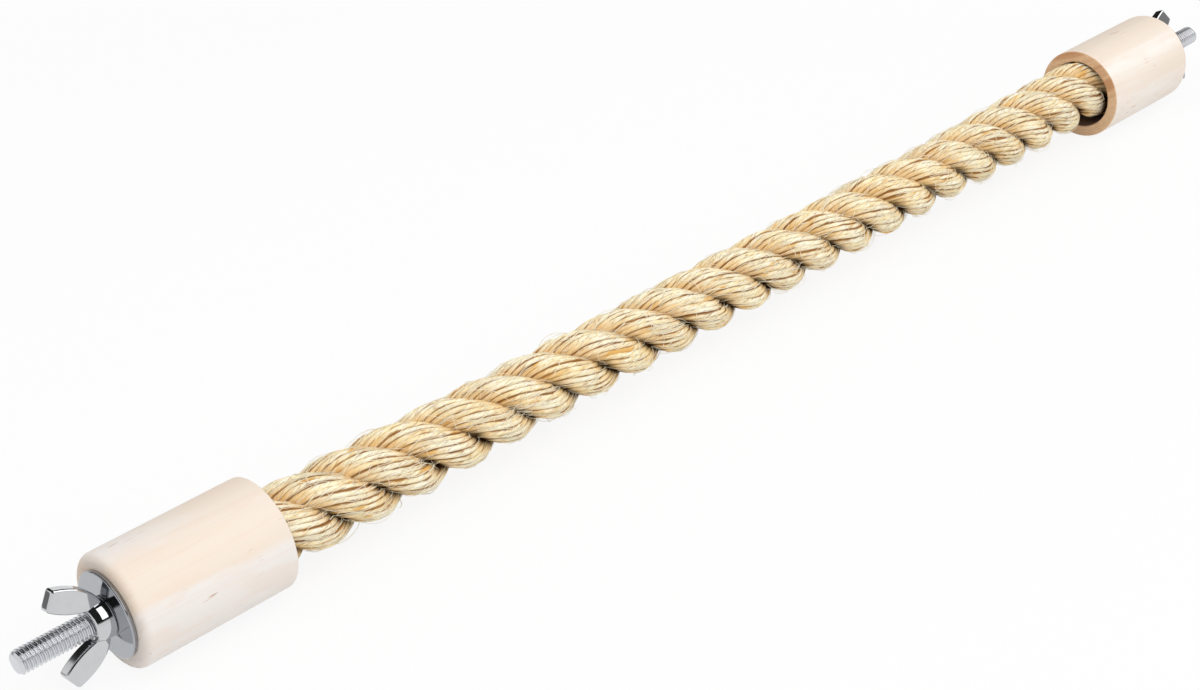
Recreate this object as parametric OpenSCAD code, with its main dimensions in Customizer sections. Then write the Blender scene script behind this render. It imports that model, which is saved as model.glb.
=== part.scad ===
/* [Perch] */
// Distance between the flat outer faces of the two wooden caps
perch_l = 546; // [400:1:700]

/* [Rope] */
// Outer diameter of the laid rope
rope_d = 25.4; // [20:0.2:34]
// Length in which a strand goes once round the rope
rope_lay = 60; // [45:1:90]
// Gap kept between one strand and the next
strand_gap = 0.3; // [0.1:0.05:1]
// Angle of the first strand at the middle of the perch, from +Y towards +Z
rope_turn = 94; // [0:1:359]

/* [Caps] */
// Thickness of the cup's wall round the rope
cap_wall = 4.7; // [3:0.1:9]
// Depth of the cup that the rope is glued into
cup_depth = 30; // [18:1:45]
// Radial room between the rope and the cup, which the adhesive partly fills
cup_gap = 1.6; // [1:0.1:3]
// Wood left between the stud's pilot hole and the cup
wood_behind = 4; // [2:0.5:12]
// Radius of the rounded edge at the outer face
cap_round = 2.5; // [0.5:0.1:3]
// Radius of the broken edge at the cup's mouth
rim_round = 0.6; // [0.2:0.1:1.2]

/* [Glue] */
// Thickness of the adhesive between the rope's end and the cup's floor
glue_t = 1; // [0.5:0.1:3]
// How far the adhesive reaches along the rope
glue_reach = 14; // [6:1:16]
// Radial clearance inside and outside the adhesive round the rope
glue_gap = 0.3; // [0.1:0.05:0.4]

/* [Hanger studs] */
// Crest diameter of the machine thread
stud_d = 7.94; // [6:0.02:9]
// Pitch of the machine thread
thread_pitch = 1.411; // [1:0.001:1.6]
// Length of the stud outside the cap
stud_out = 32; // [26:0.5:50]
// Length of the stud screwed into the cap
stud_in = 20; // [14:0.5:35]
// Chamfer at the stud's free end
stud_chamfer = 0.9; // [0.3:0.1:1.4]
// Pitch of the wood thread
wood_pitch = 2.8; // [2:0.1:3.5]
// Depth of the wood thread
wood_thread_h = 1.1; // [0.6:0.1:1.5]
// Length of the tapered point
point_l = 4; // [2:0.5:6]
// Radial clearance between the wood thread's crests and the pilot hole
pilot_gap = 0.05; // [0.02:0.01:0.2]
// Room in the pilot hole past the point
pilot_room = 1; // [0.5:0.5:3]

/* [Washers] */
// Outer diameter of the washer
washer_d = 28.6; // [20:0.1:34]
// Thickness of the washer
washer_t = 1.6; // [1:0.1:3]
// Radial play of the washer on the stud
washer_gap = 0.4; // [0.2:0.05:0.8]
// Radius of the washer's rounded edges
washer_round = 0.4; // [0.1:0.05:0.5]

/* [Wing nuts] */
// Thickness of the boss's wall at the base, round the thread
boss_wall = 2.6; // [2:0.1:4]
// Height of the boss
boss_h = 6.2; // [5:0.1:9]
// Radius of the boss's rounded shoulder
boss_round = 1.4; // [0.5:0.1:1.8]
// Radial running clearance between the nut and the stud
nut_gap = 0.05; // [0.02:0.01:0.1]
// Chamfer at both ends of the nut's bore
bore_chamfer = 0.6; // [0.2:0.1:0.9]
// Distance across the tips of the two wings
wing_span = 33; // [28:0.5:38]
// Height of the wings above the washer
wing_h = 18.6; // [16:0.2:24]
// Thickness of a wing at its tip
wing_t = 4.2; // [2.5:0.1:5]
// Thickness of a wing where it leaves the boss
wing_root_t = 4.2; // [3:0.1:5]
// Width of a wing across its middle
wing_w = 7.2; // [5:0.1:9]
// Width of a wing across its squared tip
wing_tip_w = 7; // [5:0.1:9]
// Radius of the corners at the tip
wing_corner = 1; // [0.5:0.1:1.5]
// Angle between a wing and the stud
wing_lean = 32; // [24:1:40]
// How far the wing's outer edge swells outwards
wing_belly = 0.6; // [0:0.1:1.2]
// Angle of the left nut's wings, from +Y towards +Z
left_nut_turn = 78; // [0:1:179]
// Angle of the right nut's wings, from +Y towards +Z
right_nut_turn = 60; // [0:1:179]

/* [Hidden] */

$fn = 96;
// How far a cut runs past the surface that it opens
overrun = 0.5;
// Facets round a wing's rounded parts, and round a strand
wing_facets = 32;
strand_facets = 12;
// Steps of a strand in one turn of the lay
steps_per_turn = 15;
strand_count = 3;
left = -1;
right = 1;

// Rope: three round strands, each touching circle moved out from the rope's axis
strand_r = (rope_d / 2 * sqrt(3) - strand_gap) / (2 + sqrt(3));
strand_offset = rope_d / 2 - strand_r;

// Cap
cup_r = rope_d / 2 + cup_gap;
cap_r = cup_r + cap_wall;
cap_floor = stud_in + pilot_room + wood_behind;
cap_l = cup_depth + cap_floor;
rope_l = perch_l - 2 * (cap_floor + glue_t);

// Stud: thread depth and crest width as shares of the pitch
stud_r = stud_d / 2;
thread_depth_share = 0.61;
thread_crest_share = 0.125;
thread_depth = thread_pitch * thread_depth_share;
thread_crest = thread_pitch * thread_crest_share;
// The grooves are cut as far as the nut covers the stud when it is seated.
// Past them the crest diameter runs on as one plain wall.
groove_count = ceil((washer_t + boss_h) / thread_pitch);
wood_root_r = stud_r - wood_thread_h;
wood_flat_share = 0.4;
wood_flat = wood_pitch * wood_flat_share;
wood_flank = (wood_pitch - wood_flat) / 2;
wood_ring_count = floor((stud_in - point_l) / wood_pitch);
point_share = 0.2;
point_r = wood_root_r * point_share;

// Washer
washer_hole_r = stud_r + washer_gap;

// Wing nut: places in the plane of the wings, as distance from the axis and height above the washer
nut_bore_r = stud_r + nut_gap;
boss_r = nut_bore_r + boss_wall;
wing_root = [boss_r, boss_h / 2];
wing_along = [sin(wing_lean), cos(wing_lean)];
wing_across = [cos(wing_lean), -sin(wing_lean)];
wing_tip_half = wing_tip_w / 2 - wing_corner;
wing_tip = [
    wing_span / 2 - wing_corner - wing_tip_half * wing_across[0],
    wing_h - wing_corner + wing_tip_half * wing_across[1]
];
wing_middle = (wing_root + wing_tip) / 2 + wing_belly * wing_across;

// Places what is drawn along +Z at one end of the perch, with +Z pointing out of the cap's outer face
module at_end(side) {
    translate([side * perch_l / 2, 0, 0])
        rotate([0, side * 90, 0])
            children();
}

// The waste outside a rounded corner that sits at the origin and opens towards -X and -Y
module corner_waste(r) {
    translate([-r, -r])
        difference() {
            square(r + overrun);
            circle(r);
        }
}

// One strand: a circle beside the rope's axis, drawn out and turned right-handed
module rope_strand(index) {
    turn_all = 360 * rope_l / rope_lay;
    start = rope_turn - turn_all / 2 + index * 360 / strand_count;
    color("burlywood")
        translate([-rope_l / 2, 0, 0])
            rotate([90, 0, 90])
                rotate([0, 0, start])
                    linear_extrude(
                        height = rope_l,
                        twist = -turn_all,
                        slices = ceil(steps_per_turn * rope_l / rope_lay),
                        $fn = strand_facets
                    )
                        translate([strand_offset, 0])
                            circle(strand_r);
}

// A turned wooden cup, solid behind the cup, where the stud is screwed in
module cap(side) {
    color("blanchedalmond")
        at_end(side)
            difference() {
                rotate_extrude()
                    difference() {
                        translate([0, -cap_l])
                            square([cap_r, cap_l]);
                        translate([cap_r, 0])
                            corner_waste(cap_round);
                        translate([cap_r, -cap_l])
                            mirror([0, 1])
                                corner_waste(rim_round);
                    }
                translate([0, 0, -cap_l - overrun])
                    cylinder(h = cup_depth + overrun, r = cup_r);
                translate([0, 0, -stud_in - pilot_room])
                    cylinder(h = stud_in + pilot_room + overrun, r = stud_r + pilot_gap);
            }
}

// The adhesive that holds the rope's end: a disc on the cup's floor and a sleeve round the rope
module glue(side) {
    color("khaki")
        at_end(side)
            translate([0, 0, -cap_floor - glue_t])
                difference() {
                    translate([0, 0, -glue_reach])
                        cylinder(h = glue_reach + glue_t, r = cup_r - glue_gap);
                    translate([0, 0, -glue_reach - overrun])
                        cylinder(h = glue_reach + overrun, r = rope_d / 2 + glue_gap);
                }
}

// A hanger stud: wood thread and point inside the cap, machine thread outside
module stud(side) {
    wood_start = -stud_in + point_l;
    point = [[0, -stud_in], [point_r, -stud_in]];
    wood_thread = [
        for (i = [0 : wood_ring_count - 1])
            let (z = wood_start + i * wood_pitch)
                each [
                    [wood_root_r, z],
                    [wood_root_r, z + wood_flat],
                    [stud_r, z + wood_flat + wood_flank]
                ]
    ];
    shank = [
        [wood_root_r, wood_start + wood_ring_count * wood_pitch],
        [stud_r, 0]
    ];
    machine_thread = [
        for (i = [0 : groove_count - 1])
            let (z = i * thread_pitch)
                each [
                    [stud_r, z + thread_crest / 2],
                    [stud_r - thread_depth, z + thread_pitch / 2],
                    [stud_r, z + thread_pitch - thread_crest / 2]
                ]
    ];
    free_end = [
        [stud_r, stud_out - stud_chamfer],
        [stud_r - stud_chamfer, stud_out],
        [0, stud_out]
    ];
    color("silver")
        at_end(side)
            rotate_extrude()
                polygon(concat(point, wood_thread, shank, machine_thread, free_end));
}

// A flat round washer with rounded edges, against the cap's outer face
module washer(side) {
    color("lightgrey")
        at_end(side)
            rotate_extrude()
                difference() {
                    translate([washer_hole_r, 0])
                        square([washer_d / 2 - washer_hole_r, washer_t]);
                    translate([washer_d / 2, washer_t])
                        corner_waste(washer_round);
                    translate([washer_d / 2, 0])
                        mirror([0, 1])
                            corner_waste(washer_round);
                }
}

// A round lying flat in the wings' plane
module wing_disc(place, r, t) {
    translate([place[0], 0, place[1]])
        rotate([90, 0, 0])
            cylinder(h = t, r = r, center = true, $fn = wing_facets);
}

// One wing: from the boss out to a squared tip with rounded corners
module wing() {
    hull() {
        wing_disc(wing_root, wing_root_t / 2, wing_root_t);
        wing_disc(wing_middle, wing_w / 2, wing_t);
        wing_disc(wing_tip + wing_tip_half * wing_across, wing_corner, wing_t);
        wing_disc(wing_tip - wing_tip_half * wing_across, wing_corner, wing_t);
    }
}

// A wing nut: a bored boss and two wings
module wing_nut(side, turn) {
    color("gainsboro")
        at_end(side)
            translate([0, 0, washer_t])
                rotate([0, 0, 90 + side * turn])
                    difference() {
                        union() {
                            rotate_extrude()
                                difference() {
                                    square([boss_r, boss_h]);
                                    translate([boss_r, boss_h])
                                        corner_waste(boss_round);
                                }
                            wing();
                            mirror([1, 0, 0])
                                wing();
                        }
                        translate([0, 0, -overrun])
                            cylinder(h = wing_h + 2 * overrun, r = nut_bore_r);
                        cylinder(h = bore_chamfer, r1 = nut_bore_r + bore_chamfer, r2 = nut_bore_r);
                        translate([0, 0, boss_h - bore_chamfer])
                            cylinder(h = bore_chamfer, r1 = nut_bore_r, r2 = nut_bore_r + bore_chamfer);
                    }
}

rope_strand(0);  // rope_strand_1
rope_strand(1);  // rope_strand_2
rope_strand(2);  // rope_strand_3
cap(left);  // left_cap
cap(right);  // right_cap
glue(left);  // left_glue
glue(right);  // right_glue
stud(left);  // left_stud
stud(right);  // right_stud
washer(left);  // left_washer
washer(right);  // right_washer
wing_nut(left, left_nut_turn);  // left_wing_nut
wing_nut(right, right_nut_turn);  // right_wing_nut
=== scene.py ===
# %% [markdown]
# # A rope perch for a bird cage
# A thick three-strand sisal rope is glued at both ends into turned wooden cups. A hanger stud is
# screwed into each cup, and a washer and a wing nut on it clamp the bars of a cage between them.
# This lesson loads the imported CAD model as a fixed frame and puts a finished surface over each
# of its parts. Every length is in metres, and X runs along the perch.

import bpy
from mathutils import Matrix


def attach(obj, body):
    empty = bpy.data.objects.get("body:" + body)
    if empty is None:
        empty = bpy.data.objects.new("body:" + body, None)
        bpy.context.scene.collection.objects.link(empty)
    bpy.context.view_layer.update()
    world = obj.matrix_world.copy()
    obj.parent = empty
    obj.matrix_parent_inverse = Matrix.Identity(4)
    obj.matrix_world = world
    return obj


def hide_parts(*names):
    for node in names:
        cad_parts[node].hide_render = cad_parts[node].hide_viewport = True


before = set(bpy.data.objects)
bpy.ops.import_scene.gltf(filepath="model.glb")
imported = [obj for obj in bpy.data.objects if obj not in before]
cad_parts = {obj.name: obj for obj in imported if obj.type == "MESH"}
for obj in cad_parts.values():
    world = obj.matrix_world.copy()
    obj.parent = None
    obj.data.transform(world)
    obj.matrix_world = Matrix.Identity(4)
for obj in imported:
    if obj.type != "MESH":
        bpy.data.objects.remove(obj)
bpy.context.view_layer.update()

import bpy
import numpy as np
from mathutils import Vector

MM = 0.001
FACE_X = 273 * MM
ROPE_L, LAY, FIRST_STRAND = 494 * MM, 60 * MM, np.radians(94)
CUP_R, CAP_R, CAP_L, CUP_FLOOR, PILOT_L = 14.3 * MM, 19 * MM, 55 * MM, 25 * MM, 21 * MM
STUD_R, STUD_OUT, STUD_IN, PITCH = 3.97 * MM, 32 * MM, 20 * MM, 1.411 * MM
WASHER_R, WASHER_T, WASHER_HOLE_R = 14.3 * MM, 1.6 * MM, 4.37 * MM
BORE_R, BOSS_R, BOSS_H = 4.02 * MM, 6.62 * MM, 6.2 * MM
AXIS_R, PILOT_R = 0.25 * MM, STUD_R + 0.05 * MM
SIDES = {"left": -1, "right": 1}
NUT_TURN = {"left": np.radians(78), "right": np.radians(60)}
print("perch", round(2 * FACE_X, 3), "m between its faces, rope", round(ROPE_L, 3), "m long")

# %% [markdown]
# ## The camera
# The photograph looks down along the perch from its left end. The camera's place, direction and
# focal length were fitted to the rims of both cups, so the render can be laid over the photo.
# Depth of field and shift stay off, because the other views move this same camera.

# %% The camera
turn, drop = np.radians(45.443), np.radians(32.814)
view_line = Vector((np.cos(drop) * np.cos(turn), np.cos(drop) * np.sin(turn), -np.sin(drop)))
camera = bpy.data.objects.new("camera", bpy.data.cameras.new("camera"))
bpy.context.scene.collection.objects.link(camera)
camera.location = (-0.5079, -0.4436, 0.4038)
camera.rotation_euler = view_line.to_track_quat("-Z", "Y").to_euler()
camera.data.sensor_fit, camera.data.sensor_width, camera.data.lens = "HORIZONTAL", 36, 63.64
camera.data.clip_start, camera.data.clip_end = 0.01, 60
bpy.context.scene.camera = camera
print("camera looks along", tuple(round(v, 3) for v in view_line))

# %% [markdown]
# ## One skin for every shape
# A rope yarn, a turned cup, a thread and a wing can all be seen as a row of rings. Each could be
# made with Blender's own tools, such as curves with a bevel, Spin or Screw. Here numpy works out
# all the rings at once, and one function joins them, so every surface has the same clean faces,
# closed ends and a UV map whose U goes round and whose V goes along.


# %% Rings to a mesh
def skin(
    name, rings, material, body, stands_for=(), loop=False, along=None, tint=None, depth=None
):
    """Joins rings, an array (shapes, rows, columns, 3) in metres, into one smooth object.

    Corner (i, j) of a quad goes on to (i, j + 1), (i + 1, j + 1) and (i + 1, j), and the last
    column joins the first. With loop the last row joins the first too. Otherwise a fan round the
    mean point of each end ring closes the shape. U is j / columns, and V is along, (shapes, rows).
    tint is one number for each shape and depth one for each ring, both kept on its points.
    """
    shapes, rows, columns, _ = rings.shape
    number = np.arange(shapes * rows * columns).reshape(shapes, rows, columns)
    beside = np.roll(number, -1, 2)
    along = np.zeros((shapes, rows)) if along is None else along
    if loop:
        number, beside = (np.concatenate([n, n[:, :1]], 1) for n in (number, beside))
        along = np.concatenate([along, along[:, :1]], 1)
    quads = np.stack([number[:, :-1], beside[:, :-1], beside[:, 1:], number[:, 1:]], -1)
    u = np.arange(columns) / columns
    u = np.stack([u, u + 1 / columns, u + 1 / columns, u], -1)[None, None]
    v = np.stack([along[:, :-1], along[:, :-1], along[:, 1:], along[:, 1:]], -1)[:, :, None]
    quad_uv = np.stack(np.broadcast_arrays(u, v), -1)
    points, faces, uv = [rings.reshape(-1, 3)], [quads.reshape(-1, 4)], [quad_uv.reshape(-1, 2)]
    if not loop:
        middle = rings[:, [0, -1]].mean(2)
        hub = rings[..., 0].size + np.arange(shapes * 2).reshape(shapes, 2, 1)
        first = np.stack(np.broadcast_arrays(hub[:, 0], beside[:, 0], number[:, 0]), -1)
        last = np.stack(np.broadcast_arrays(hub[:, 1], number[:, -1], beside[:, -1]), -1)
        points.append(middle.reshape(-1, 3))
        faces.append(np.stack([first, last], 1).reshape(-1, 3))
        ends = np.broadcast_to(along[:, [0, -1], None, None], (shapes, 2, columns, 3))
        uv.append(np.stack([np.full(ends.shape, 0.5), ends], -1).reshape(-1, 2))
    mesh = bpy.data.meshes.new(name)
    points, corners = np.concatenate(points), np.concatenate([f.ravel() for f in faces])
    widths = np.concatenate([np.full(len(f), f.shape[1]) for f in faces])
    mesh.vertices.add(len(points))
    mesh.vertices.foreach_set("co", points.ravel().astype(np.float32))
    mesh.loops.add(len(corners))
    mesh.loops.foreach_set("vertex_index", corners.astype(np.int32))
    mesh.polygons.add(len(widths))
    mesh.polygons.foreach_set("loop_start", (np.cumsum(widths) - widths).astype(np.int32))
    mesh.update(calc_edges=True)
    layer = mesh.uv_layers.new(name="UVMap")
    layer.uv.foreach_set("vector", np.concatenate(uv).ravel().astype(np.float32))
    for title, value in (("tint", tint), ("depth", depth)):
        if value is None:
            continue
        each = np.broadcast_to(value if value.ndim == 2 else value[:, None], (shapes, rows))
        ends = [] if loop else each[:, [0, -1]].ravel()
        each = np.concatenate([np.repeat(each.ravel(), columns), ends]).astype(np.float32)
        mesh.attributes.new(title, "FLOAT", "POINT").data.foreach_set("value", each)
    mesh.materials.append(material)
    piece = bpy.data.objects.new(name, mesh)
    bpy.context.scene.collection.objects.link(piece)
    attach(piece, body)
    if stands_for:
        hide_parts(*stands_for)
    triangles = sum((f.shape[1] - 2) * len(f) for f in faces)
    print(f"{name}: {len(points)} points, {triangles} triangles, rides on {body}")
    return piece


def outward(points, side, spin=0.0):
    """Puts (a, b, height) at one end: X = side (FACE_X + height), and a and b lie across the axis.

    a runs at the angle spin from +Y towards +Z, and b is a quarter turn on, the way round that
    keeps the shape from turning inside out.
    """
    a, b, height = np.moveaxis(np.asarray(points, float), -1, 0)
    y = a * np.cos(spin) - side * b * np.sin(spin)
    z = a * np.sin(spin) + side * b * np.cos(spin)
    return np.stack([side * (FACE_X + height), y, z], -1)


def turned(profile, columns=160):
    """A profile of (radius, height) points as rings: (r cos t, r sin t, height), t once round."""
    t = np.linspace(0, 2 * np.pi, columns, endpoint=False)
    r, height = np.asarray(profile, float).T[:, :, None]
    return np.stack([r * np.cos(t), r * np.sin(t), height + 0 * t], -1)[None]


def rounded(corners, steps=9):
    """A profile through corners (radius, height, rounding) with an arc in each rounded corner.

    The arc starts a length rounding / tan(half the corner's angle) from the corner, and its
    middle is on the bisector. A point just before and after each arc keeps the flats flat.
    """
    path = []
    for i, (r, height, rounding) in enumerate(corners):
        corner = np.array([r, height])
        if rounding == 0:
            path.append(corner)
            continue
        back, on = np.array(corners[i - 1][:2]) - corner, np.array(corners[i + 1][:2]) - corner
        back, on = back / np.linalg.norm(back), on / np.linalg.norm(on)
        half = np.arccos(np.clip(back @ on, -1, 1)) / 2
        reach = rounding / np.tan(half)
        middle = corner + (back + on) / np.linalg.norm(back + on) * rounding / np.sin(half)
        t = np.linspace(0, 1, steps)[:, None] * (np.pi - 2 * half)
        arm = corner + back * reach - middle
        arc = middle + arm * np.cos(t) + (-back) * rounding * np.sin(t)
        path += [corner + back * (reach + 0.04 * MM), *arc, corner + on * (reach + 0.04 * MM)]
    return np.array(path)


print("skin, outward, turned and rounded are ready")

# %% [markdown]
# ## Shader maths as Python
# A finish is a small sum over the surface: pale wood minus a little where a ring is. In the
# shader editor that takes a Math node for each sign. The class below wraps one socket, so the
# sum is written as it would be on paper, and node() adds any other node in one call.


# %% A socket that can be added and multiplied
class Wire:
    """A socket of a material's node tree, or with no socket the tree itself."""

    def __init__(self, tree, socket=None):
        self.tree, self.socket = tree, socket

    def node(self, kind, settings=None, inputs=None, out=0):
        """Adds a node. Its settings are set first, then the values or wires of its sockets."""
        made = self.tree.nodes.new(kind)
        for key, value in (settings or {}).items():
            setattr(made, key, value)
        for key, value in (inputs or {}).items():
            if isinstance(value, Wire):
                self.tree.links.new(value.socket, made.inputs[key])
            else:
                made.inputs[key].default_value = value
        return Wire(self.tree, made.outputs[out] if len(made.outputs) else None)

    def maths(self, operation, a, b=0.0):
        """A Math node on a and b, which can be wires or numbers."""
        return self.node("ShaderNodeMath", {"operation": operation}, {0: a, 1: b})

    def __add__(self, other):
        return self.maths("ADD", self, other)

    def __sub__(self, other):
        return self.maths("SUBTRACT", self, other)

    def __rsub__(self, other):
        return self.maths("SUBTRACT", other, self)

    def __mul__(self, other):
        return self.maths("MULTIPLY", self, other)

    __radd__, __rmul__ = __add__, __mul__


def paint(red, green, blue):
    """An sRGB colour, 0 to 255, as the linear colour that shaders use."""
    c = np.array([red, green, blue]) / 255
    return (*np.where(c <= 0.04045, c / 12.92, ((c + 0.055) / 1.055) ** 2.4), 1.0)


def new_material(name):
    """An empty node material, and the wire that stands for its tree."""
    material = bpy.data.materials.new(name)
    material.use_nodes = True
    material.node_tree.nodes.clear()
    return material, Wire(material.node_tree)


def finish_with(tree, shader):
    """Joins a shader to the material's output."""
    tree.node("ShaderNodeOutputMaterial", inputs={"Surface": shader})


def finish_surface(tree, inputs):
    """Joins a Principled shader with these values or wires to the material's output."""
    finish_with(tree, tree.node("ShaderNodeBsdfPrincipled", None, inputs))


def mixed(factor, a, b):
    """Colour a where the factor is 0, and b where it is 1."""
    return factor.node("ShaderNodeMix", {"data_type": "RGBA"}, {0: factor, 6: a, 7: b}, 2)


def step(value, low, high):
    """0 below low, 1 above high, and a smooth rise between; low may be the larger one."""
    settings = {"interpolation_type": "SMOOTHSTEP"}
    return value.node("ShaderNodeMapRange", settings, {0: value, 1: low, 2: high})


def noise(tree, place, scale, detail=2.0, rough=0.5):
    """Noise from 0 to 1 at a place, in waves of about 1 / scale."""
    inputs = {"Vector": place, "Scale": scale, "Detail": detail, "Roughness": rough}
    return tree.node("ShaderNodeTexNoise", None, inputs)


def joined(tree, x, y, z):
    """Three numbers as one vector."""
    return tree.node("ShaderNodeCombineXYZ", None, {0: x, 1: y, 2: z})


def parts_of(vector):
    """A vector's X, Y and Z as three wires."""
    split = vector.node("ShaderNodeSeparateXYZ", None, {0: vector})
    return [Wire(vector.tree, s) for s in split.socket.node.outputs]


def length_of(vector):
    """A vector's length, the square root of x^2 + y^2 + z^2."""
    return vector.node("ShaderNodeVectorMath", {"operation": "LENGTH"}, {0: vector}, 1)


def object_place(tree):
    """The Object coordinates, in metres from the frame's origin."""
    return tree.node("ShaderNodeTexCoord", out=3)


def bumped(height, strength, distance):
    """The surface's normal, turned as if it stood height times distance higher, in metres."""
    inputs = {"Strength": strength, "Distance": distance, "Height": height}
    return height.node("ShaderNodeBump", None, inputs)


print("shader maths is ready")

# %% [markdown]
# ## Sisal
# Sisal is a bundle of straight, stiff, pale fibres. Its colour runs from ivory through straw to
# patches of honey, which are stronger near the left end. Painted shade makes it warmer and darker
# in the valleys between the strands, darkest where yarns meet and low at the front, as in the
# photograph. The pattern follows each yarn through its UV map: fine streaks run along it on a
# slight slant, and slow changes give the patches. A yarn's own tint keeps neighbours apart, and its
# depth, the distance from the rope's middle in rope radii, tells the valleys from the crowns and
# sets how much painted shade they get.


# %% The sisal material
def sisal_material():
    """Sisal fibre: U goes round a yarn, with 0.5 outermost, and V along it, in metres.

    The noises are laid out in millimetres along and eighths of a turn across, with a slant of
    0.42 across for each millimetre. Loose fibres have a depth above 1.15, and are paler.
    """
    material, tree = new_material("sisal")
    u, v, _ = parts_of(tree.node("ShaderNodeUVMap", {"uv_map": "UVMap"}))
    tint = tree.node("ShaderNodeAttribute", {"attribute_name": "tint"}, out=2)
    depth = tree.node("ShaderNodeAttribute", {"attribute_name": "depth"}, out=2)
    x, y, z = parts_of(object_place(tree))
    along = v * 1000
    across = u * 8.0 + along * 0.42

    def streaks(wide, long, offset, detail, rough):
        """Noise with wide waves for each eighth of a turn and long waves for each millimetre."""
        place = joined(tree, across * wide, along * long, tint * offset)
        return noise(tree, place, 1.0, detail, rough)

    streak = streaks(0.8, 0.17, 40, 3.0, 0.65)
    hair = streaks(2.2, 0.30, 90, 2.0, 0.6)
    patch = streaks(0.16, 0.055, 23, 2.0, 0.55)
    fade = noise(tree, joined(tree, along * 0.11, tint * 70, 0.0), 1.0, 2.0, 0.6)
    fibre = step(depth, 1.05, 1.15)
    # painted shade: brown along each yarn's sides, where it meets its neighbours
    crease_shade = step(tree.maths("ABSOLUTE", u - 0.5) + fade * 0.4, 0.30, 0.41) * (1.0 - fibre)
    near_left = step(x, -0.09, -0.22)
    # pale streaks only on the outer surface, so the deeper yarns are left darker, as painted shade
    outer = step(depth, 0.80, 0.96)
    # painted shade: the valleys are painted nearly black-brown, darkest on the low front side of
    # the rope
    low_front = step(y * -64.0 + z * -48.0, 0.1, 0.6)
    valley_shade = step(depth + low_front * -0.06, 0.77, 0.60) * (low_front * 0.8 + 0.2)

    own = step(tint + patch * 1.2 - 0.6, 0.1, 0.9)
    colour = mixed(own, paint(255, 239, 193), paint(255, 249, 219))
    for share, rgb in (
        (step(patch, 0.56, 0.68) * 0.7, (236, 198, 126)),
        (step(streak, 0.48, 0.58) * outer * 0.85, (255, 250, 234)),
        (step(streak, 0.47, 0.36) * 0.4, (232, 188, 116)),
        (step(hair, 0.44, 0.35) * 0.6, (160, 112, 48)),
        (step(patch + near_left * 0.05, 0.64, 0.74) * 0.8, (230, 172, 80)),
        # painted shade: yarns that lie deep in the valleys are painted warmer and darker
        (step(depth, 0.93, 0.74) * 0.65, (230, 182, 112)),
        (crease_shade * 0.9, (160, 105, 36)),
        (valley_shade, (46, 22, 2)),
        (fibre * 0.6, (255, 246, 222)),
    ):
        colour = mixed(share, colour, paint(*rgb))
    height = (streak * 0.6 + hair * 0.4) * (1.0 - fibre)
    finish_surface(tree, {
        "Base Color": colour, "Roughness": 0.58 - streak * 0.15,
        "Normal": bumped(height, 1.0, 0.0007), "Specular IOR Level": 0.04,
    })
    return material


sisal = sisal_material()
print("material", sisal.name, len(sisal.node_tree.nodes), "nodes")

# %% [markdown]
# ## The rope
# A laid rope is a helix of helices: three strands turn right-handed round the rope, and in each
# strand the yarns turn the other way, so that on the outside they lie nearly along the rope. It
# could be sculpted or drawn as an image, but the dark lines between the yarns only look right
# from every side when the yarns are there. So each strand is a core and 18 yarns, each a
# tube round its own path, with a little wander in its place and thickness. Where two strands lean
# on each other they are flat, and outside they are round.


# %% The rope's own shape
def unit(vectors):
    """Each vector divided by its length."""
    return vectors / np.linalg.norm(vectors, axis=-1, keepdims=True)


def smooth(value, low, high):
    """0 below low, 1 above high, and 3 q^2 - 2 q^3 between them."""
    q = np.clip((value - low) / (high - low), 0, 1)
    return q * q * (3 - 2 * q)


def wander(rng, shapes, x, wave):
    """A smooth random line for each shape: three sine waves in x with random phases."""
    phase = rng.uniform(0, 2 * np.pi, (3, shapes, 1))
    length = wave * rng.uniform(0.6, 1.8, (3, shapes, 1))
    return np.sin(2 * np.pi * x / length + phase).sum(0) / 1.7


def rope_radius(x):
    """12.4 mm in the middle, 13.2 mm where the lay opens near the cups, 12.6 mm inside them."""
    return (12.4 + 0.8 * smooth(abs(x), 0.10, 0.195) - 0.6 * smooth(abs(x), 0.205, 0.228)) * MM


def rope_middle(x):
    """The rope sags to the low front side by 1.2 mm less 0.33 mm times e^(x / 104 mm)."""
    sag = (1.2 - 0.33 * np.exp(x / 0.104)) * (1 - 0.85 * smooth(abs(x), 0.214, 0.232)) * MM
    return np.stack([x, -0.695 * sag, -0.719 * sag], -1)


def strand_frame(x, strand):
    """Centre, outward and side vectors of a strand at each x.

    Its centre is at the angle FIRST_STRAND + 2 pi (x / LAY + strand / 3) from +Y towards +Z, at
    half of the rope's radius from the middle line. Side is the strand's direction x outward.
    """
    x, strand = np.broadcast_arrays(x, strand)
    angle = FIRST_STRAND + 2 * np.pi * (x / LAY + strand / 3)
    offset = 0.5 * rope_radius(x)[..., None]
    zero = 0 * angle
    out = np.stack([zero, np.cos(angle), np.sin(angle)], -1)
    round_it = np.stack([zero, -np.sin(angle), np.cos(angle)], -1)
    direction = unit(np.array([1.0, 0, 0]) + offset * 2 * np.pi / LAY * round_it)
    return rope_middle(x) + offset * out, out, np.cross(direction, out)


def strand_edge(x, angle):
    """How far a strand reaches from its own centre at an angle from outward.

    Outside it is a circle of half the rope's radius. Past 60 degrees it also stops at the flat
    that faces a neighbour, 0.385 of the rope's radius over sin(|angle| - 60 degrees). The two are
    joined as (circle^-6 + flat^-6)^(-1/6).
    """
    lean = abs(np.mod(angle + np.pi, 2 * np.pi) - np.pi) - np.pi / 3
    flat = np.clip(np.sin(lean), 0, 1) / 0.385
    return rope_radius(x) * (0.5**-6 + flat**6) ** (-1 / 6)


YARNS, YARN_TURN, YARN_R = 18, -178.0, 1.08 * MM
YARN_ROWS, CORE_ROWS = 516, 300


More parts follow.
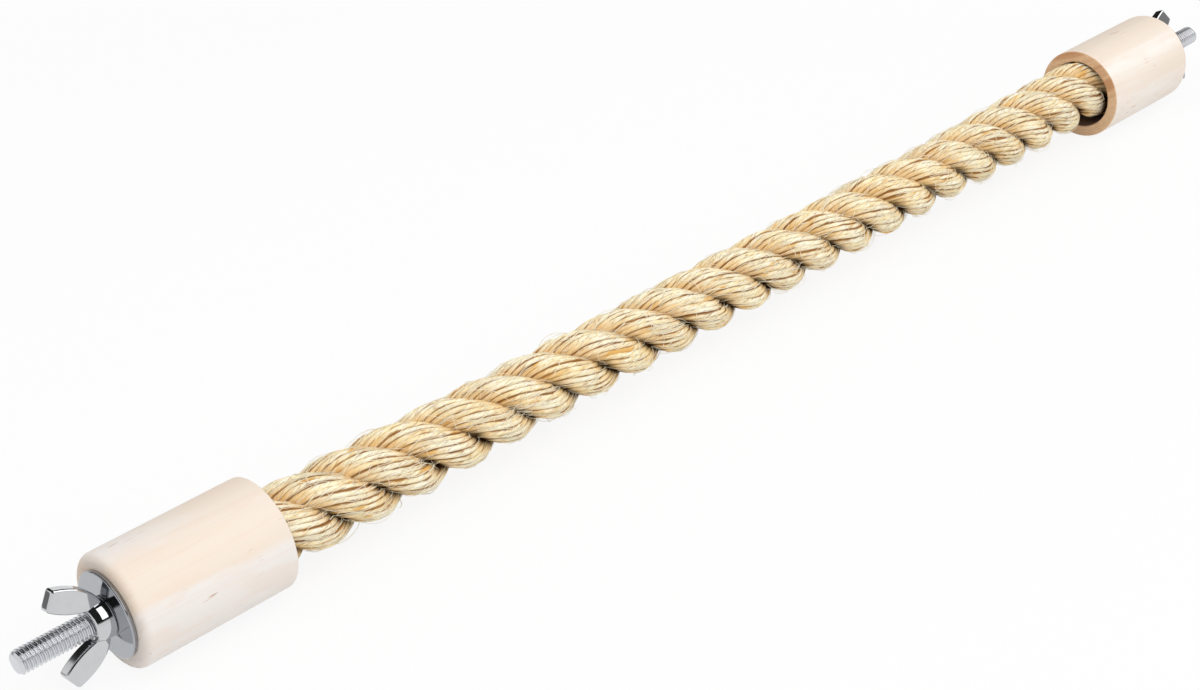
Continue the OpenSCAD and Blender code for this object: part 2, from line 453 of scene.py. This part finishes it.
def yarn_path(x, strand, angle, height):
    """The line at angle + YARN_TURN x round the strand's centre, height over its edge.

    Angles are in radians from outward. Also gives the centre, and the line's distance from the
    rope's middle in rope radii.
    """
    centre, out, side = strand_frame(x, strand)
    a = angle + YARN_TURN * x
    reach = (strand_edge(x, a) + height)[..., None]
    path = centre + reach * (np.cos(a)[..., None] * out + np.sin(a)[..., None] * side)
    return centre, path, np.linalg.norm(path - rope_middle(x), axis=-1) / rope_radius(x)


def tube(path, hub, wide, thick, columns):
    """Rings round paths, (shapes, rows, 3): wide across, thick in the direction away from hub.

    A ring is path + away thick cos t + across wide sin t, with t from pi, so U = 0.5 is outermost.
    """
    forward = unit(np.gradient(path, axis=1))
    away = path - hub
    away = unit(away - (away * forward).sum(-1, keepdims=True) * forward)
    across = np.cross(forward, away)
    t = np.pi + np.linspace(0, 2 * np.pi, columns, endpoint=False)
    cos, sin = np.cos(t)[:, None], np.sin(t)[:, None]
    away = away[:, :, None] * thick[:, :, None, None]
    across = across[:, :, None] * wide[:, :, None, None]
    return path[:, :, None] + away * cos + across * sin


print("yarns are", round(360 / YARNS, 1), "degrees apart, the lay is", LAY, "m")


# %% The strands
def make_strand(strand):
    """The yarns of one strand, as one object of closed tubes.

    Yarn k is at the angle 2 pi k / YARNS + YARN_TURN x from outward, with a little wander. Its
    centre is 0.95 of its own radius inside the strand's edge, give or take 0.34 mm.
    """
    rng = np.random.default_rng(70 + strand)
    x = np.linspace(-ROPE_L / 2, ROPE_L / 2, YARN_ROWS)[None]
    angle = 2 * np.pi * np.arange(YARNS)[:, None] / YARNS + rng.uniform(-0.04, 0.04, (YARNS, 1))
    angle = angle + 0.045 * wander(rng, YARNS, x, 45 * MM)
    thick = YARN_R * (1 + 0.10 * wander(rng, YARNS, x, 30 * MM)) * rng.uniform(0.9, 1.1, (YARNS, 1))
    height = 0.34 * MM * wander(rng, YARNS, x, 22 * MM) - 0.95 * thick
    hub, path, depth = yarn_path(x, strand, angle, np.minimum(height, -0.9 * YARN_R))
    rings = tube(path, hub, thick, thick * 1.1, 10)
    travelled = np.linalg.norm(np.diff(path, axis=1), axis=-1).cumsum(1)
    travelled = np.concatenate([np.zeros((YARNS, 1)), travelled], 1) + np.arange(YARNS)[:, None]
    return skin(
        f"strand_{strand + 1}_yarns", rings, sisal, "perch", [f"rope_strand_{strand + 1}"],
        along=travelled, tint=rng.uniform(0, 1, YARNS), depth=depth,
    )


def make_core(strand):
    """The middle of one strand, a tube 0.75 mm inside its edge, seen between the yarns."""
    x = np.linspace(-ROPE_L / 2, ROPE_L / 2, CORE_ROWS)[:, None]
    centre, out, side = strand_frame(x, strand)
    t = np.linspace(0, 2 * np.pi, 24, endpoint=False)[None]
    reach = (strand_edge(x, t) - 0.75 * MM)[..., None]
    rings = centre + reach * (np.cos(t)[..., None] * out + np.sin(t)[..., None] * side)
    return skin(
        f"strand_{strand + 1}_core", rings[None], sisal, "perch",
        along=x.T + 0.3, tint=np.array([0.5]), depth=np.array([0.88]),
    )


for make_part in (make_strand, make_core):
    for strand in range(3):
        make_part(strand)

# %% [markdown]
# ## Loose fibres
# Fibres work loose all over a sisal rope. Most lie almost flat on their yarn, some stand off in
# low arches, and a few stick out. A hair system would do it, but hair isn't a mesh and wouldn't
# travel with the part. Each fibre here is a three-sided tube of nine rings, 54 triangles. Short
# stubble of the same make roughens the outline.


# %% Loose fibres
FIBRE_START_X, FIBRE_END_X = 217 * MM, 217.5 * MM


def make_fibres(name, seed, count, length, lift, drift, width):
    """Fibres that follow the yarns' path and rise above them.

    Along a fibre, s goes from 0 to 1. Its height over the strand is lift times s squared, or
    lift times sin(pi s) where both ends are caught, and drift turns it across the yarns. Every
    fibre stays between the cups' rims, which are at 218 mm.
    """
    rng = np.random.default_rng(seed)
    s = np.linspace(0, 1, 9)[None]
    start = rng.uniform(-FIBRE_START_X, FIBRE_START_X, (count, 1))
    long = rng.uniform(*length, (count, 1))
    way = rng.choice([-1, 1], (count, 1))
    x = np.clip(start + way * long * s * 0.8, -FIBRE_END_X, FIBRE_END_X)
    strand = rng.integers(0, 3, (count, 1))
    facing = rng.uniform(-1.15, 1.15, (count, 1))
    arch = rng.random((count, 1)) < 0.6
    rise = rng.uniform(*lift, (count, 1)) * np.where(arch, np.sin(np.pi * s), s**2)
    turn_off = rng.normal(0, drift, (count, 1)) * s + 0.10 * wander(rng, count, s, 0.8)
    hub, path, depth = yarn_path(x, strand, facing - YARN_TURN * start + turn_off, rise)
    thin = rng.uniform(*width, (count, 1)) * (1.05 - 0.55 * s)
    rings = tube(path, hub, thin, thin, 3)
    return skin(
        name, rings, sisal, "perch", along=x + 5 + rng.random((count, 1)),
        tint=rng.uniform(0.5, 1, count), depth=depth + 1,
    )


make_fibres(
    "rope_surface_fibres", seed=5, count=1200, length=(8 * MM, 26 * MM),
    lift=(0.0, 0.25 * MM), drift=0.35, width=(0.09 * MM, 0.19 * MM),
)
make_fibres(
    "rope_loose_fibres", seed=6, count=420, length=(7 * MM, 24 * MM),
    lift=(0.3 * MM, 2.0 * MM), drift=0.9, width=(0.09 * MM, 0.15 * MM),
)
make_fibres(
    "rope_stubble", seed=7, count=700, length=(2 * MM, 6 * MM),
    lift=(0.3 * MM, 1.0 * MM), drift=1.1, width=(0.09 * MM, 0.15 * MM),
)

# %% [markdown]
# ## Turned softwood
# The cups are pale softwood, turned with the grain running along the perch. A trunk's growth
# rings are rings round a pith outside the piece, so on the side they show as faint lengthwise
# bands and at the ends as arcs. The material cuts the same rings everywhere: it measures the
# distance from a pith line in Object coordinates, so sides and ends agree without a UV map. Slow
# noise of that distance gives the broad warm and pale bands, and quicker noise the fine arcs.


# %% The softwood material
def softwood_material(name, pith_y, pith_z, first_band, shade, pale):
    """Pale wood round a pith line; shade is how much darker the end grain is, 0 to 1. Up to about
    0.12 that is the end grain's own colour, and more than that is painted shade.

    A ring's radius is sqrt((y - pith_y)^2 + (z - pith_z)^2). The broad bands are noise of 35
    times that radius plus first_band, and the fine arcs noise of 150 times it, both bent a
    little. End grain is where the surface faces along X.
    """
    material, tree = new_material(name)
    place = object_place(tree)
    x, y, z = parts_of(place)

    def spots(wave_x, wave_yz, detail, rough=0.5):
        """Noise with wave_x waves for each metre along X and wave_yz across it."""
        return noise(tree, joined(tree, x * wave_x, y * wave_yz, z * wave_yz), 1.0, detail, rough)

    bend = spots(7, 30, 1.0) - 0.5
    ring = length_of(joined(tree, 0.0, y - pith_y, z - pith_z))
    bands = joined(tree, ring * 35 + bend * 0.4 + first_band, x * 2, 0.0)
    band = noise(tree, bands, 1.0, 4.0, 0.55)
    arcs = noise(tree, joined(tree, ring * 150 + bend * 1.4, x * 2, 0.0), 1.0, 2.0, 0.55)
    normal = tree.node("ShaderNodeTexCoord", out=1)
    end = step(tree.maths("ABSOLUTE", parts_of(normal)[0]), 0.25, 0.85)
    grain = spots(26, 900, 3.0, 0.6)
    fleck = spots(130, 1100, 1.0)
    rare = spots(55, 55, 0.0)
    mottle = spots(42, 150, 2.0, 0.6)
    pores = noise(tree, place, 2600.0, 2.0, 0.6)
    line = step(tree.maths("ABSOLUTE", arcs - 0.57), 0.022, 0.0)
    # painted shade: the inside wall and floor of the cup are painted dark brown
    in_bore = step(length_of(joined(tree, 0.0, y, z)), 0.0147, 0.0143)
    inside = in_bore * step(tree.maths("ABSOLUTE", x), 0.249, 0.247)

    rough_end = mixed(step(pores, 0.36, 0.64), paint(236, 201, 160), paint(203, 158, 112))
    rough_end = mixed(step(arcs, 0.44, 0.62) * 0.8, rough_end, paint(186, 122, 66))
    colour = mixed(step(band, 0.44, 0.54), paint(*pale), paint(235, 221, 206))
    for share, over in (
        (line * 0.10, paint(220, 192, 168)),
        (step(grain, 0.48, 0.72) * 0.14, paint(230, 210, 192)),
        (step(fleck, 0.66, 0.76) * step(rare, 0.52, 0.64) * 0.7, paint(186, 142, 104)),
        # end grain darkened by shade: its own darker colour, and on the right cap painted shade as
        # well
        (end * shade, rough_end),
        (step(mottle, 0.48, 0.64) * (1.0 - end) * 0.3, paint(236, 214, 196)),
        # painted shade inside the cup
        (inside * 0.85, paint(96, 58, 30)),
    ):
        colour = mixed(share, colour, over)
    height = grain * 0.5 + pores * end * 0.9
    finish_surface(tree, {
        "Base Color": colour, "Roughness": 0.58 + end * 0.2,
        "Normal": bumped(height, 0.35, 0.0002), "Specular IOR Level": 0.3,
    })
    return material


# The two caps are copies of one wood. The right copy is a little lighter and yellower, to stand in
# for how the light falls on that cap, and its end grain is much darker, as painted shade on its
# rim.
softwood = {
    "left": softwood_material("softwood_left", 0.021, 0.046, 2.6, 0.12, (236, 230, 225)),
    "right": softwood_material("softwood_right_shaded", 0.024, 0.046, 2.1, 0.9, (241, 234, 226)),
}
print("materials", [m.name for m in softwood.values()])


# %% The wooden caps
def make_cap(side_name):
    """A turned cup: cup floor, cup wall, rim, side, rounded outer edge, face and pilot hole."""
    profile = rounded([
        (AXIS_R, -CUP_FLOOR, 0),
        (CUP_R, -CUP_FLOOR, 0.5 * MM),
        (CUP_R, -CAP_L, 0.5 * MM),
        (CAP_R, -CAP_L, 0.7 * MM),
        (CAP_R, 0, 2.5 * MM),
        (PILOT_R, 0, 0.2 * MM),
        (PILOT_R, -PILOT_L, 0.2 * MM),
        (AXIS_R, -PILOT_L, 0),
    ])
    rings = outward(turned(profile), SIDES[side_name])
    return skin(
        f"{side_name}_cap_turned", rings, softwood[side_name], "perch", [f"{side_name}_cap"]
    )


for side_name in SIDES:
    make_cap(side_name)

# %% [markdown]
# ## Steel
# The stud is zinc plated, a soft grey shine. The washer is nickel plated, and the wing nut is
# polished nickel, nearly a mirror. Metal shows what is round it, so its look comes from the world
# and the cards further down. The materials only add what a used part has: a faint haze and a
# slight unevenness.


# %% The metal materials
def metal_material(name, base, rough, haze, wave):
    """Metal of a base colour; its roughness is rough + haze cloud, and wave bends its surface."""
    material, tree = new_material(name)
    place = object_place(tree)
    cloud = noise(tree, place, 260.0, 3.0, 0.6)
    grain = noise(tree, place, 2400.0, 2.0, 0.6)
    colour = mixed(cloud, paint(*base), paint(*(c * 0.94 for c in base)))
    finish_surface(tree, {
        "Base Color": colour, "Metallic": 1.0, "Roughness": cloud * haze + rough,
        "Normal": bumped(cloud + grain * 0.05, wave, 0.0002),
    })
    return material


zinc = metal_material("zinc_plate", (216, 218, 222), 0.20, 0.08, 0.08)
nickel = metal_material("nickel_plate", (172, 175, 180), 0.05, 0.06, 0.05)
polished = metal_material("polished_nickel", (207, 208, 210), 0.03, 0.06, 0.05)
print("materials", zinc.name, nickel.name, polished.name)

# %% [markdown]
# ## The hanger studs
# A hanger stud has a machine thread outside and a coarse wood thread inside the cup. Both are
# right-handed. Rings across the axis give the thread: the radius at each point depends on how
# far its height is from the crest, which climbs one pitch for each turn.


# %% The studs
def thread_radius(height, t, crest_r, depth, pitch, flat):
    """Radius of a thread: crest_r less depth times a smooth step from the crest to the root.

    The phase is height / pitch - t / (2 pi), so the crest climbs a pitch in a turn, to the right.
    flat is the share of the pitch taken by the crest, and as much by the root.
    """
    phase = np.mod(height / pitch - t / (2 * np.pi), 1)
    down = (np.abs(phase - 0.5) * 2 - flat) / (1 - 2 * flat)
    return crest_r - depth * smooth(down, 0, 1)


WOOD_PITCH, SHANK_L = 2.8 * MM, 3.2 * MM


def make_stud(side_name):
    """Machine thread outside the face, plain shank, wood thread and point inside the cup.

    The machine thread is cut by a cone, STUD_R - 0.95 mm + 1.05 (STUD_OUT - height), and the wood
    thread by another, 0.5 mm + 0.85 (height + STUD_IN).
    """
    t = np.linspace(0, 2 * np.pi, 56, endpoint=False)[None]
    outside = np.linspace(0, STUD_OUT - 0.02 * MM, 410)[:, None]
    machine = thread_radius(outside, t, STUD_R, 0.72 * MM, PITCH, 0.10)
    end = STUD_R - 0.95 * MM + (STUD_OUT - outside) * 1.05
    machine = np.minimum(machine, np.maximum(end, 1 * MM))
    inside = np.linspace(-STUD_IN, -0.05 * MM, 120)[:, None]
    wood = thread_radius(inside, t, STUD_R, 1.05 * MM, WOOD_PITCH, 0.16)
    wood = np.where(inside > -SHANK_L, STUD_R, wood)
    wood = np.minimum(wood, 0.5 * MM + (inside + STUD_IN) * 0.85)
    height = np.concatenate([inside, outside, [[STUD_OUT]]])
    radius = np.concatenate([wood, machine, np.full((1, t.size), STUD_R - 1.15 * MM)])
    rings = np.stack([radius * np.cos(t), radius * np.sin(t), height + 0 * t], -1)[None]
    rings = outward(rings, SIDES[side_name])
    return skin(
        f"{side_name}_stud_threaded", rings, zinc, "perch", [f"{side_name}_stud"]
    )


for side_name in SIDES:
    make_stud(side_name)

# %% [markdown]
# ## Washers
# A washer is stamped from sheet, so one edge is rounded by the punch and the plating softens the
# rest. It is one closed profile turned round the stud.


# %% The washers
def make_washer(side_name):
    """A closed profile round the hole: back face, outer edge, front face and hole wall."""
    middle = (WASHER_R + WASHER_HOLE_R) / 2
    profile = rounded([
        (middle, 0, 0),
        (WASHER_R, 0, 0.4 * MM),
        (WASHER_R, WASHER_T, 0.45 * MM),
        (middle, WASHER_T, 0),
        (WASHER_HOLE_R, WASHER_T, 0.25 * MM),
        (WASHER_HOLE_R, 0, 0.2 * MM),
        (middle - 1 * MM, 0, 0),
    ])
    rings = outward(turned(profile, 192), SIDES[side_name])
    return skin(
        f"{side_name}_washer_plated", rings, nickel, f"{side_name}_washer",
        [f"{side_name}_washer"], loop=True,
    )


for side_name in SIDES:
    make_washer(side_name)

# %% [markdown]
# ## Wing nuts
# A cast wing nut has a short round boss and two flat wings that lean outwards and end in a
# squared tip. The wing is lofted: two curves give its inner and outer edge, and a rounded
# rectangle is carried between them, thicker at the root. A boolean union then makes the boss and
# both wings one body, as a casting is.


# %% The wing nuts
def bezier(points, s):
    """A quadratic Bezier curve, (1 - s)^2 p0 + 2 s (1 - s) p1 + s^2 p2, from points in mm."""
    p = np.asarray(points, float) * MM
    s = s[:, None]
    return (1 - s) ** 2 * p[0] + 2 * s * (1 - s) * p[1] + s**2 * p[2]


def rounded_box(half_wide, half_thick, corner, steps=7):
    """A ring round a rectangle with rounded corners, for arrays of half sizes.

    Corner k is at (+-(half_wide - corner), +-(half_thick - corner)), with a quarter circle round
    it and a point on either side that keeps the flats flat.
    """
    a = np.linspace(0, np.pi / 2, steps)
    lead = np.array([0.02 * MM])
    sx, sy = np.array([1, -1, -1, 1]), np.array([1, 1, -1, -1])
    turned_by = np.arange(4)[:, None] * np.pi / 2
    arc = np.stack([np.cos(a + turned_by), np.sin(a + turned_by)], -1) * corner
    before = arc[:, :1] - lead * np.stack([-np.sin(turned_by), np.cos(turned_by)], -1)
    after = arc[:, -1:] + lead * np.stack([-np.cos(turned_by), -np.sin(turned_by)], -1)
    arc = np.concatenate([before, arc, after], 1)
    wide = (half_wide[:, None] - corner) * sx
    thick = (half_thick[:, None] - corner) * sy
    ring = arc[None] + np.stack([wide, thick], -1)[:, :, None]
    return ring.reshape(len(half_wide), -1, 2)


def wing_rings():
    """The wing as rings: middle line m, half width w along the line between the edges, thickness.

    Past the last ring the tip is rounded: the ring moves on by R sin q and shrinks by
    R (1 - cos q), with q from 0 to a quarter turn.
    """
    s = np.linspace(0, 1, 40)
    outer = bezier([(6.0, 0.9), (13.0, 2.9), (16.25, 13.6)], s)
    inner = bezier([(5.0, 5.4), (6.3, 12.2), (10.4, 17.2)], s)
    middle, half = (outer + inner) / 2, (outer - inner) / 2
    wide, thick = np.linalg.norm(half, axis=1), (2.3 - 0.15 * s) * MM
    across = half / wide[:, None]
    onward = np.stack([-across[:, 1], across[:, 0]], -1)
    q, tip = np.linspace(0, np.pi / 2, 9)[1:], 1.0 * MM
    middle = np.concatenate([middle, middle[-1] + onward[-1] * tip * np.sin(q)[:, None]])
    wide = np.concatenate([wide, wide[-1] - tip * (1 - np.cos(q))])
    thick = np.concatenate([thick, thick[-1] - 0.9 * MM * (1 - np.cos(q))])
    middle = np.concatenate([middle, middle[-1:]])
    wide, thick = np.append(wide, wide[-1] - 0.05 * MM), np.append(thick, thick[-1] - 0.05 * MM)
    across = np.concatenate([across, np.repeat(across[-1:], 9, 0)])
    box = rounded_box(wide, thick, 0.75 * MM)
    place = middle[:, None] + across[:, None] * box[..., :1]
    return np.stack([place[..., 0], -box[..., 1], place[..., 1]], -1)[None]


def fused(piece, others, angle=32):
    """One mesh of piece and others by boolean union; edges over angle degrees stay crisp."""
    for other in others:
        joint = piece.modifiers.new("union", "BOOLEAN")
        joint.operation, joint.solver, joint.object = "UNION", "EXACT", other
    depsgraph = bpy.context.evaluated_depsgraph_get()
    mesh = bpy.data.meshes.new_from_object(piece.evaluated_get(depsgraph))
    piece.modifiers.clear()
    piece.data = mesh
    for other in others:
        bpy.data.objects.remove(other)
    mesh.set_sharp_from_angle(angle=np.radians(angle))
    print(piece.name, "fused:", len(mesh.polygons), "faces")
    return piece


def make_wing_nut(side_name):
    """The bored boss as a closed turned profile, and the two wings, half a turn apart."""
    side, spin, body = SIDES[side_name], NUT_TURN[side_name], f"{side_name}_wing_nut"
    boss = rounded([
        (5.6 * MM, 0, 0),
        (BOSS_R, 0, 0.5 * MM),
        (BOSS_R - 0.25 * MM, 3.9 * MM, 1.2 * MM),
        (BOSS_R - 0.85 * MM, BOSS_H, 0.8 * MM),
        (BORE_R + 0.6 * MM, BOSS_H, 0.1 * MM),
        (BORE_R, BOSS_H - 0.7 * MM, 0.2 * MM),
        (BORE_R, 0.6 * MM, 0.2 * MM),
        (BORE_R + 0.5 * MM, 0, 0.1 * MM),
        (5.2 * MM, 0, 0),
    ])
    rings = turned(boss, 144) + [0, 0, WASHER_T]
    nut = skin(
        f"{side_name}_nut_forged", outward(rings, side, spin), polished, body,
        [f"{side_name}_wing_nut"], loop=True,
    )
    lifted = wing_rings() + [0, 0, WASHER_T]
    wings = [
        skin(f"{side_name}_wing_{k}", outward(lifted, side, turned_by), polished, body)
        for k, turned_by in enumerate((spin, spin + np.pi))
    ]
    return fused(nut, wings)


for side_name in SIDES:
    make_wing_nut(side_name)

# %% [markdown]
# ## Glue
# The glue stands behind the rope's end and reaches 14 mm up round it inside the cup, out of
# sight. So the CAD solid stays as it is and only gets its finish: amber, with slow clouds in it.


# %% The glue
def glue_material():
    """Amber glue with slow clouds in its colour and its shine."""
    material, tree = new_material("hide_glue")
    cloud = noise(tree, object_place(tree), 300.0, 3.0, 0.5)
    colour = mixed(cloud, paint(206, 170, 108), paint(176, 132, 70))
    finish_surface(tree, {"Base Color": colour, "Roughness": 0.35 + cloud * 0.2})
    return material


glue = glue_material()
for side_name in SIDES:
    node_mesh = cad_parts[f"{side_name}_glue"].data
    node_mesh.materials.clear()
    node_mesh.materials.append(glue)
print("material", glue.name)

# %% [markdown]
# ## Floor, lights and cards
# The floor is plain and pale. For camera, mirror and see-through rays it also glows, so that it
# renders white and still keeps a soft shadow. Three large lamps and an even world light the
# perch. What the metal shows is set apart from that light, because metal looks like metal when
# bright stands next to dark: mirror rays see no lamps, but a world that is bright at the horizon
# and dark overhead, two grey cards, and one bright card above that puts the white patch on the
# boss and on the threads.


# %% The floor
WHITE = (1, 1, 1, 1)


def floor_material():
    """Matt pale grey, with a glow of 0.88 to 1 for camera, mirror and see-through rays."""
    material, tree = new_material("pale_floor")
    path = tree.node("ShaderNodeLightPath")
    rays = path.socket.node.outputs
    names = ("Is Camera Ray", "Is Glossy Ray", "Is Transmission Ray")
    seen = sum(Wire(tree.tree, rays[name]) for name in names)
    x, y, _ = parts_of(object_place(tree))
    far = length_of(joined(tree, x, y, 0.0))
    share = tree.maths("MINIMUM", seen, 1.0) * (step(far, 0.30, 0.95) * 0.12 + 0.88)
    matt = tree.node("ShaderNodeBsdfDiffuse", None, {"Color": paint(238, 238, 238)})
    glow = tree.node("ShaderNodeEmission", None, {"Color": WHITE, "Strength": 1.0})
    finish_with(tree, tree.node("ShaderNodeMixShader", None, {0: share, 1: matt, 2: glow}))
    return material


def add_floor(name, height, radius, columns=64):
    """A disc of three rings, (r cos t, r sin t, height)."""
    t = np.linspace(0, 2 * np.pi, columns, endpoint=False)
    r = np.array([0.3, 1.0, radius])[:, None]
    points = np.stack([r * np.cos(t), r * np.sin(t), 0 * r * t + height], -1).reshape(-1, 3)
    number = np.arange(3 * columns).reshape(3, columns)
    beside = np.roll(number, -1, 1)
    quads = np.stack([number[:-1], number[1:], beside[1:], beside[:-1]], -1).reshape(-1, 4)
    mesh = bpy.data.meshes.new(name)
    mesh.from_pydata(points.tolist(), [], [*quads.tolist(), number[0].tolist()])
    mesh.materials.append(floor_material())
    floor = bpy.data.objects.new(name, mesh)
    bpy.context.scene.collection.objects.link(floor)
    return floor


floor = add_floor("floor", -CAP_R, 12.0)
print(floor.name, "at height", -CAP_R)


# %% The world
WORLD_LIGHT = 0.64


def studio_world():
    """An even world for light, a bright and dark one for mirrors, and white for the camera.

    In mirrors it is 0.95, but 0.02 overhead and in one patch low at the back.
    """
    world = bpy.data.worlds.new("studio")
    bpy.context.scene.world = world
    world.use_nodes = True
    world.node_tree.nodes.clear()
    sky = Wire(world.node_tree)
    ray = sky.node("ShaderNodeLightPath").socket.node.outputs
    seen = Wire(sky.tree, ray["Is Camera Ray"]) + Wire(sky.tree, ray["Is Transmission Ray"])
    east, north, up = parts_of(sky.node("ShaderNodeTexCoord"))
    back = step(north, 0.15, 0.4) * step(up, 0.02, 0.12) * step(east, -0.4, 0.0)
    above = step(up - step(east, -0.2, -0.5) * 0.4, 0.22, 0.40)
    dark = sky.maths("MAXIMUM", above, back)
    levels = (WORLD_LIGHT, (1.0 - dark) * 0.93 + 0.02, 1.0)
    light, mirror, white = (
        sky.node("ShaderNodeBackground", None, {"Color": WHITE, "Strength": level})
        for level in levels
    )
    shiny = Wire(sky.tree, ray["Is Glossy Ray"])
    both = sky.node("ShaderNodeMixShader", None, {0: shiny, 1: light, 2: mirror})
    both = sky.node("ShaderNodeMixShader", None, {0: seen, 1: both, 2: white})
    sky.node("ShaderNodeOutputWorld", None, {"Surface": both})


studio_world()
bpy.context.scene.view_settings.view_transform = "Standard"
print("world strength", WORLD_LIGHT)


# %% Lamps and cards
def aim(thing, place, target):
    """Puts a thing at a place with its -Z towards the target."""
    thing.location = place
    thing.rotation_euler = (Vector(target) - Vector(place)).to_track_quat("-Z", "Y").to_euler()


def lamp(name, place, target, size, power, tone=(1.0, 1.0, 1.0)):
    """A rectangular lamp, size in metres and power in watts, that mirrors don't see."""
    data = bpy.data.lights.new(name, "AREA")
    data.shape, data.size, data.size_y = "RECTANGLE", *size
    data.energy, data.color = power, tone
    made = bpy.data.objects.new(name, data)
    bpy.context.scene.collection.objects.link(made)
    aim(made, place, target)
    made.visible_glossy = False
    return made


def card(name, place, target, size, level):
    """A card of an even grey level that only reflections see."""
    wide, high = size[0] / 2, size[1] / 2
    mesh = bpy.data.meshes.new(name)
    corners = [(-wide, -high, 0), (wide, -high, 0), (wide, high, 0), (-wide, high, 0)]
    mesh.from_pydata(corners, [], [(0, 1, 2, 3)])
    material, tree = new_material(name)
    glow = tree.node("ShaderNodeEmission", None, {"Color": WHITE, "Strength": level})
    finish_with(tree, glow)
    mesh.materials.append(material)
    made = bpy.data.objects.new(name, mesh)
    bpy.context.scene.collection.objects.link(made)
    aim(made, place, target)
    made.visible_camera = made.visible_diffuse = made.visible_shadow = False
    made.visible_transmission = made.visible_volume_scatter = False
    return made


lamps = [
    lamp("key_lamp", (-0.55, 0.15, 1.5), (0, 0, 0), (0.9, 0.7), 3.4, (1.0, 0.97, 0.93)),
    lamp("fill_lamp", (-0.25, -1.3, 0.9), (0, 0, 0), (0.8, 0.8), 3.1),
    lamp("strip_lamp", (0.1, -0.5, 1.05), (0, 0, 0), (1.6, 0.7), 5.4),
]
cards = [
    card("card_left", (-0.48, 0.28, 0.02), (-0.3, 0, 0.02), (0.4, 0.08), 0.2),
    card("card_right", (1.1, -0.56, 0.2), (0.3, 0, 0.0), (0.5, 0.34), 0.3),
    card("card_top", (1.0, -0.44, 0.9), (1.0, 0, 0), (2.1, 1.3), 2.2),
]
print(len(lamps), "lamps and", len(cards), "cards")
